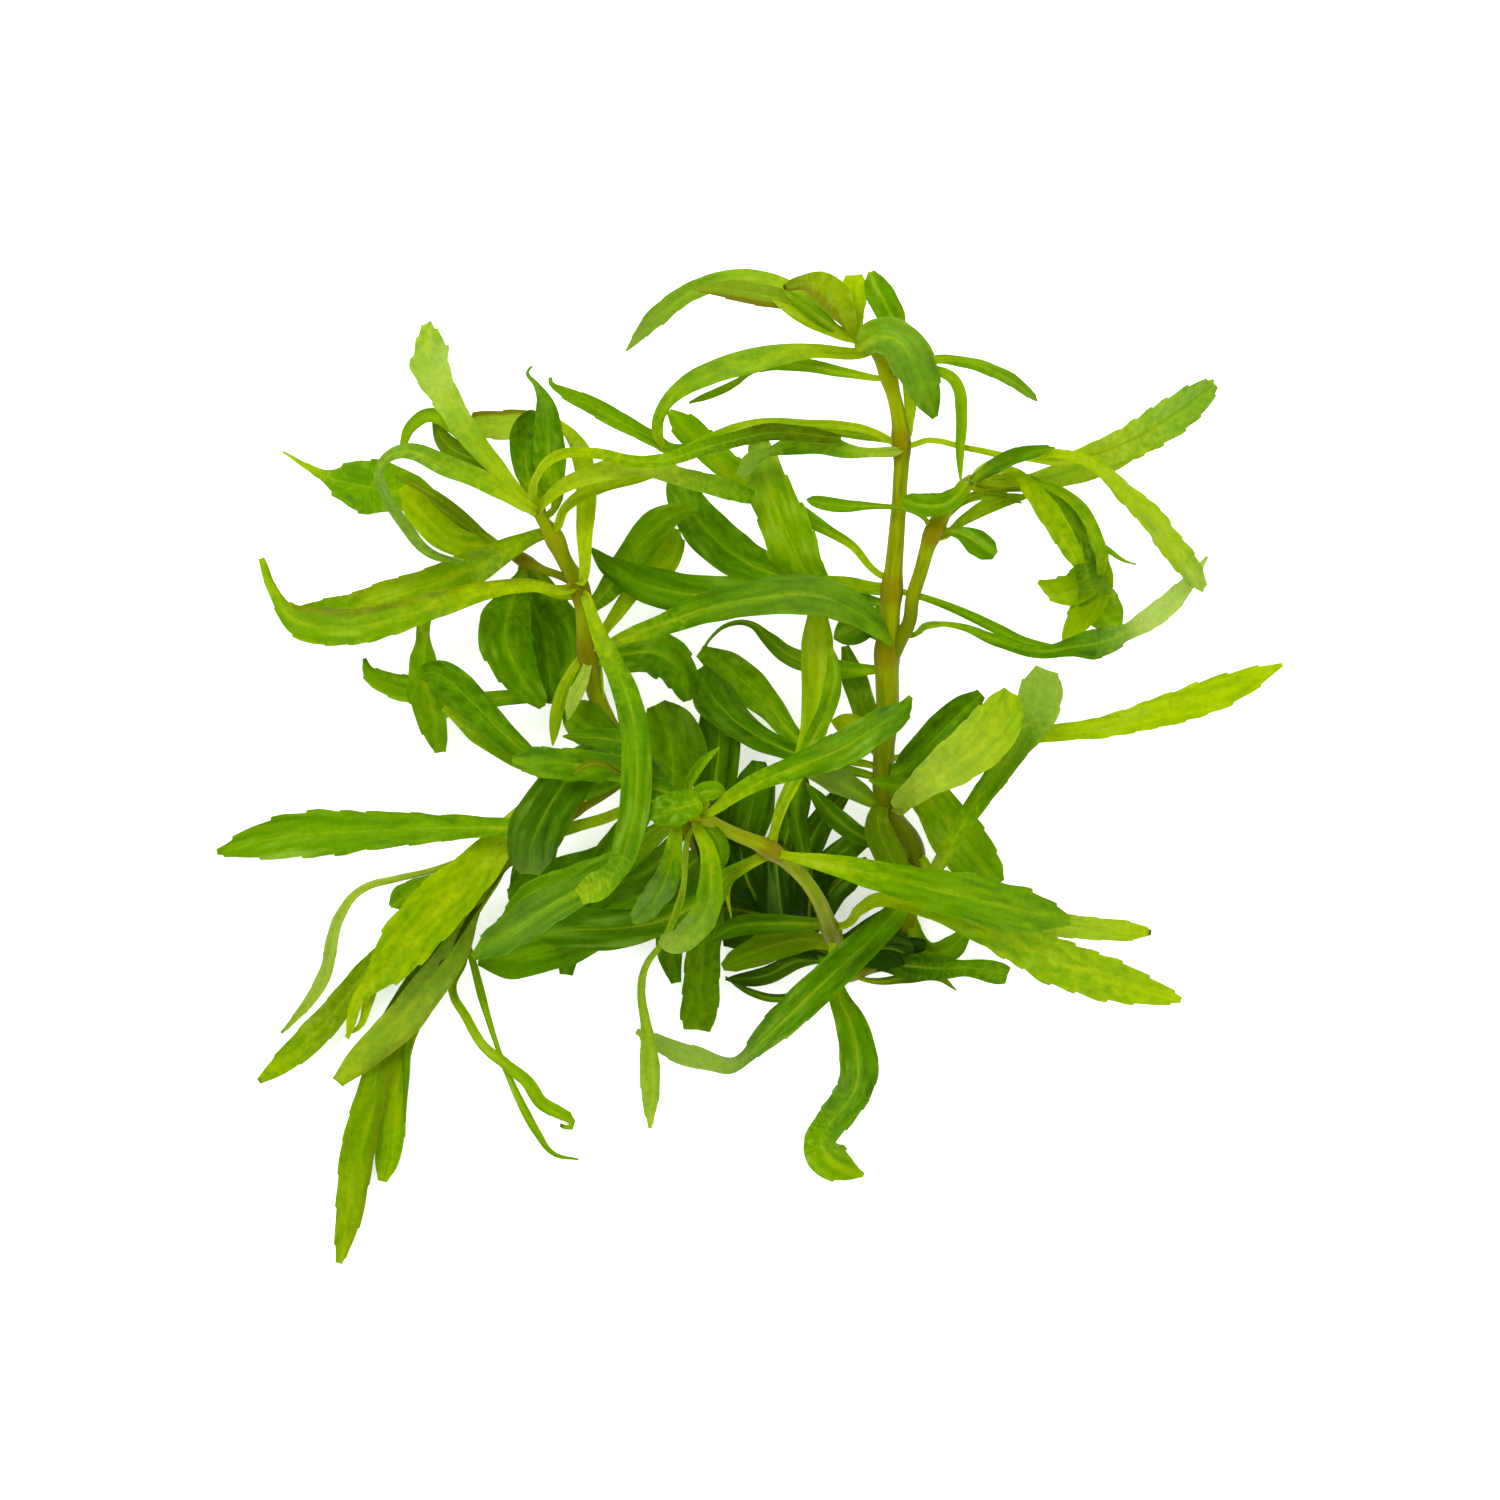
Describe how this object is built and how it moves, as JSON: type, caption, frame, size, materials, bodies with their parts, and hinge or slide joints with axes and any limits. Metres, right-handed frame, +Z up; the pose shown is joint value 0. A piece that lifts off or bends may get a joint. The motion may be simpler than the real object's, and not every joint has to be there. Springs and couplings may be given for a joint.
{
  "type": "pogostemon quadrifolius bunch",
  "caption": "Loose bunch of a stem aquarium plant lying on a surface: branching olive stems with whorls of long, narrow, finely toothed green leaves.",
  "frame": {"origin": "on the surface that the bunch lies on, under the middle of its bounding box", "axes": "+Z up from the surface; +Y from the cut ends to the crowns; +X to the right as seen from above"},
  "size_m": [0.1707, 0.1576, 0.0529],
  "materials": {
    "leaf_fresh": "full-grown leaf, mid green, waxy with a soft sheen",
    "leaf_young": "young or backlit leaf, bright yellow-green",
    "leaf_deep": "inner leaf, deep green",
    "leaf_olive": "older leaf or pale underside, olive",
    "stem_olive": "olive-yellow stem, browner at the nodes",
    "stem_rust": "reddish-brown stem"
  },
  "bodies": {
    "root": {"stem_right_lower": "stem_olive", "stem_right_upper": "stem_olive", "stem_right_branch": "stem_olive", "stem_left": "stem_rust", "stem_left_side": "stem_rust", "stem_low_left": "stem_rust", "stem_front": "stem_olive", "leaf_left_tall": "leaf_fresh", "leaf_left_loop": "leaf_fresh", "leaf_left_low_broad": "leaf_olive", "leaf_left_upright": "leaf_deep", "leaf_left_long_strap": "leaf_deep", "leaf_left_cross": "leaf_fresh", "leaf_left_wavy": "leaf_fresh", "leaf_left_under_wavy": "leaf_deep", "leaf_left_drooping": "leaf_fresh", "leaf_left_curled_tip": "leaf_fresh", "leaf_left_dark_paddle": "leaf_deep", "leaf_left_front_strap": "leaf_fresh", "leaf_middle_glossy": "leaf_fresh", "leaf_middle_under": "leaf_deep", "leaf_middle_cross_back": "leaf_fresh", "leaf_middle_dark_broad": "leaf_deep", "leaf_middle_standing": "leaf_deep", "leaf_middle_arching": "leaf_fresh", "leaf_right_top_arch": "leaf_olive", "leaf_right_top_fold": "leaf_fresh", "leaf_right_front_glossy": "leaf_fresh", "leaf_right_long": "leaf_young", "leaf_branch_sickle": "leaf_fresh", "leaf_branch_inner": "leaf_fresh", "leaf_branch_paddle": "leaf_deep", "leaf_branch_low_fold": "leaf_deep", "leaf_centre_upright": "leaf_fresh", "leaf_centre_across": "leaf_fresh", "leaf_side_bright": "leaf_young", "leaf_side_tall": "leaf_fresh", "leaf_side_front": "leaf_young", "leaf_side_olive_broad": "leaf_olive", "leaf_low_serrated_upper": "leaf_fresh", "leaf_low_serrated_long": "leaf_young", "leaf_low_brown_end": "leaf_young", "leaf_foot_diagonal": "leaf_fresh", "leaf_foot_hanging": "leaf_fresh", "leaf_foot_short_right": "leaf_deep", "leaf_foot_narrow_hanging": "leaf_young", "leaf_front_keeled": "leaf_fresh", "leaf_front_bright": "leaf_fresh", "leaf_front_left_low": "leaf_fresh", "leaf_front_left_cross": "leaf_fresh", "leaf_front_left_hanging": "leaf_deep", "leaf_low_left_level": "leaf_fresh", "leaf_low_left_broad": "leaf_young", "leaf_low_left_olive": "leaf_olive", "leaf_low_left_bottom": "leaf_young", "leaf_low_left_brown_tip": "leaf_young", "leaf_low_left_thin_arch": "leaf_olive", "leaf_low_left_thin_curl": "leaf_fresh", "leaf_low_left_dark_back": "leaf_deep", "leaf_low_left_olive_back": "leaf_olive"}
  },
  "joints": []
}
